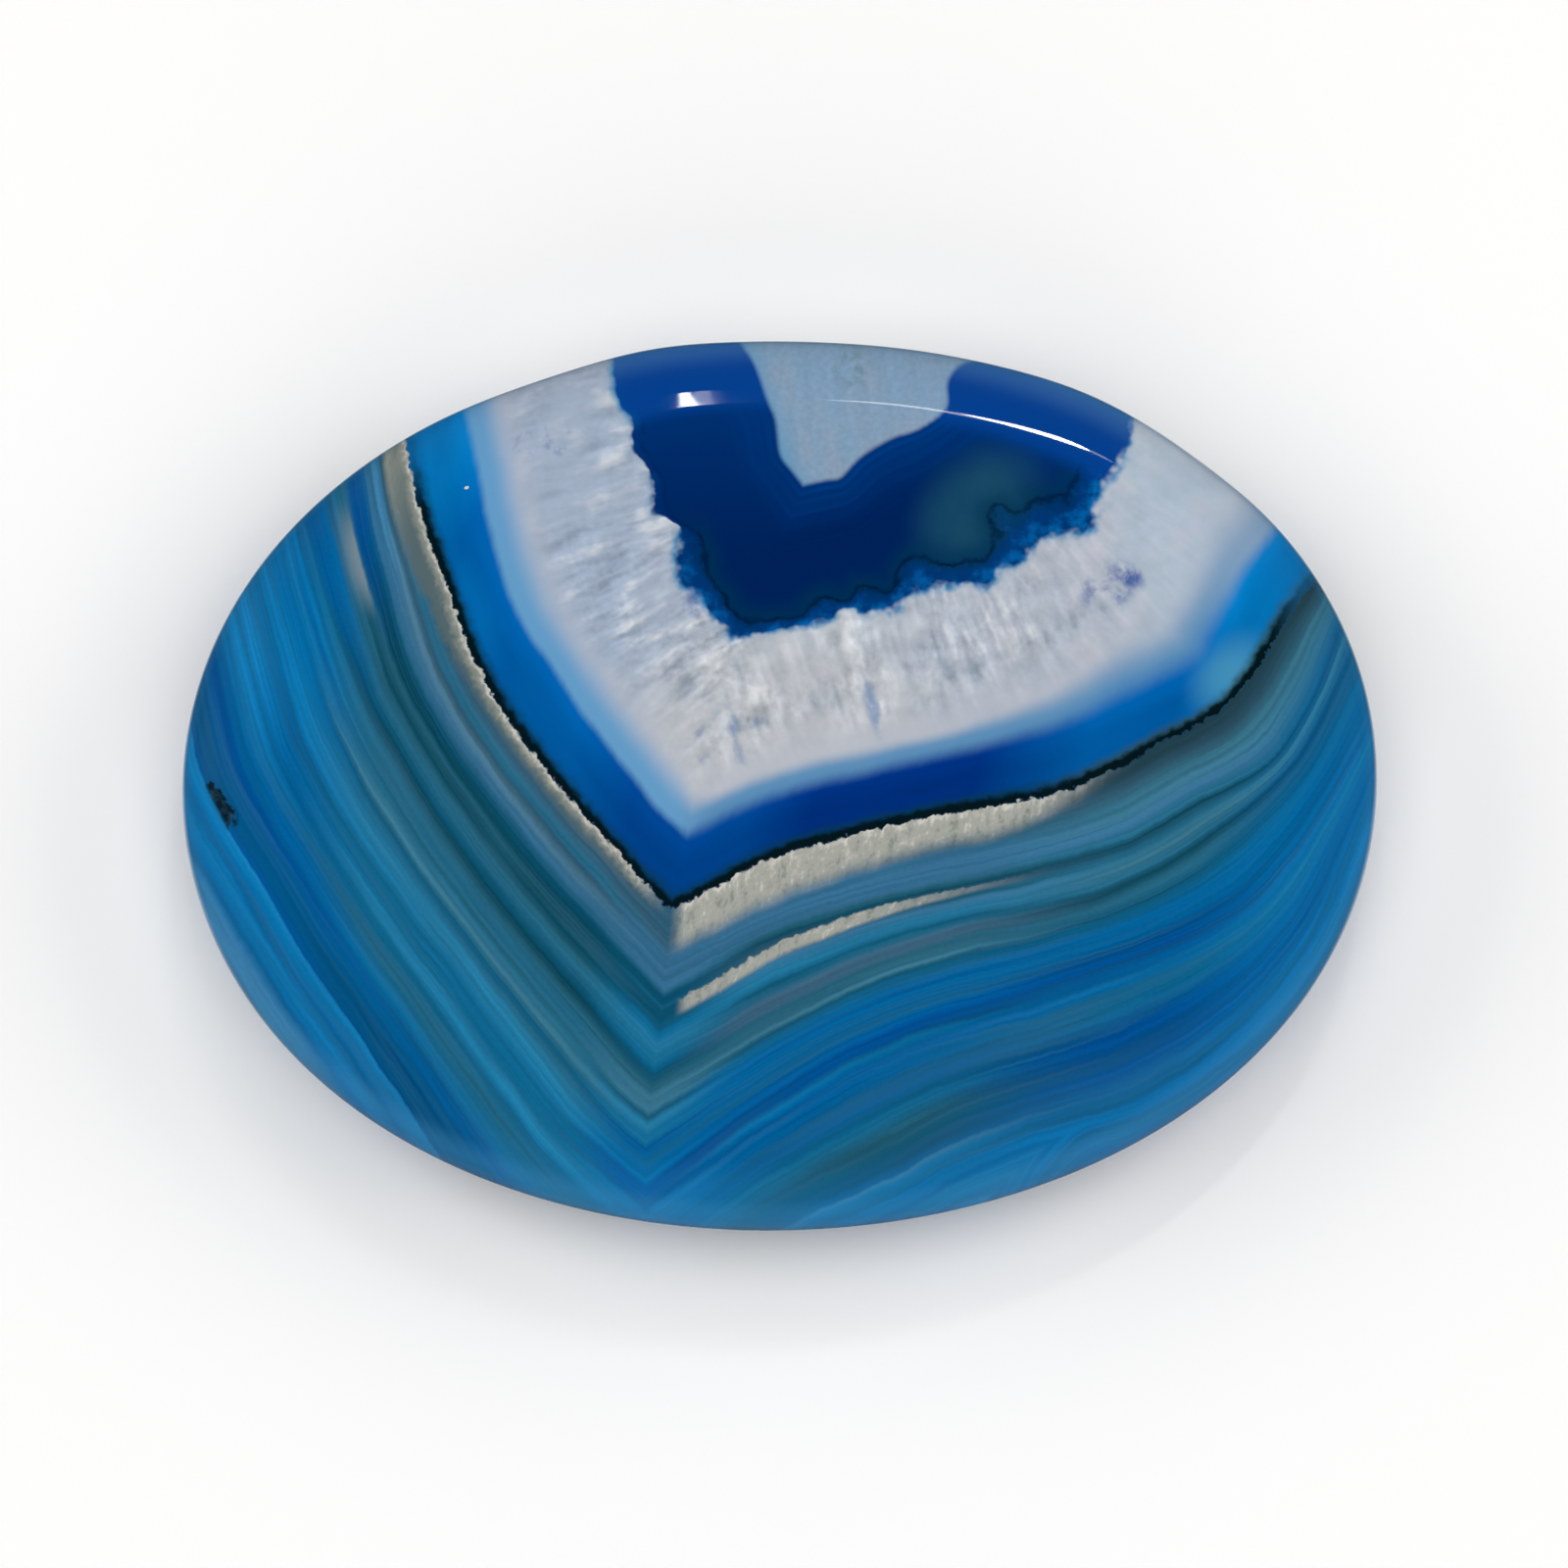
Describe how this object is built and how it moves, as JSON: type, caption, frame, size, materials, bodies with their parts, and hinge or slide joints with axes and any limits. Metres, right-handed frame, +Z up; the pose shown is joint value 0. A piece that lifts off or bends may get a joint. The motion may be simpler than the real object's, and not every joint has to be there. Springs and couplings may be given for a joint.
{
  "type": "agate worry stone",
  "caption": "Polished oval pebble of banded blue agate, flat enough to lie in the palm, with a full round rim and a shallow hollow for the thumb ground into its face.",
  "frame": {"origin": "middle of the flat face on the stone's back, on the surface that it lies on", "axes": "+X along the stone's length, +Y along its width, +Z up through its thickness, out of the thumb hollow"},
  "size_m": [0.05, 0.0382, 0.0083],
  "materials": {
    "banded_agate": "glossy polished agate: a blue-black core round a pale translucent spot, white quartz, a blue band behind a thin black line, then teal, cream and dark green-blue bands"
  },
  "bodies": {
    "root": {"stone": "banded_agate"}
  },
  "joints": []
}
